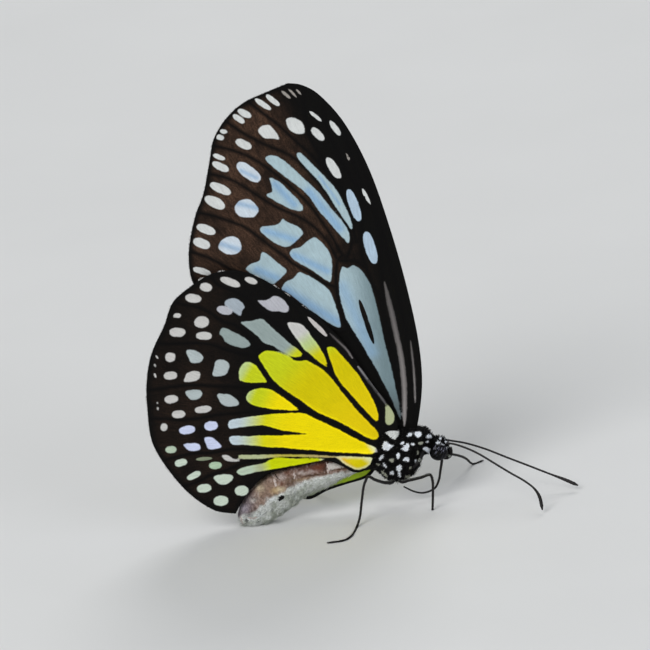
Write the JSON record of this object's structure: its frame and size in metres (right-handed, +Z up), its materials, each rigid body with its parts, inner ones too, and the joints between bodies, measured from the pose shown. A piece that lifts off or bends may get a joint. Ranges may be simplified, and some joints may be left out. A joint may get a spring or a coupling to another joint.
{
  "type": "yellow glassy tiger butterfly with closed wings",
  "caption": "Still, life-size tiger butterfly standing with its tall wings closed over its back, feelers held forward and the tip of its abdomen on the ground.",
  "frame": {"origin": "centre of the outline seen from above, on the floor that the feet and the tip of the abdomen stand on", "axes": "+X towards the head and the feelers, +Y to the animal's left, +Z up along the closed wings"},
  "size_m": [0.0466, 0.0194, 0.051],
  "materials": {
    "body_scales_black": "velvety black scales and hair with pure white scale spots",
    "body_scales_brown": "matt grey-brown scales above, whitish scales below, pale ring at each segment",
    "eye": "smooth glossy black compound eye",
    "chitin_black": "fine-scaled black chitin with a soft satin shine",
    "wing_dark": "blackish-brown wing scales with pale blue-grey translucent windows and white spots",
    "wing_yellow": "bright yellow wing scales in black-veined cells, white spots on a blackish-brown border"
  },
  "bodies": {
    "root": {"thorax": "body_scales_black", "head": "body_scales_black", "abdomen": "body_scales_brown", "eye_left": "eye", "eye_right": "eye", "palp_left": "body_scales_black", "palp_right": "body_scales_black", "proboscis": "chitin_black", "antenna_left": "chitin_black", "antenna_right": "chitin_black", "foreleg_left": "chitin_black", "foreleg_right": "chitin_black", "midleg_left": "chitin_black", "midleg_right": "chitin_black", "hindleg_left": "chitin_black", "hindleg_right": "chitin_black", "forewing_left": "wing_dark", "forewing_right": "wing_dark", "hindwing_left": "wing_yellow", "hindwing_right": "wing_yellow"}
  },
  "joints": []
}
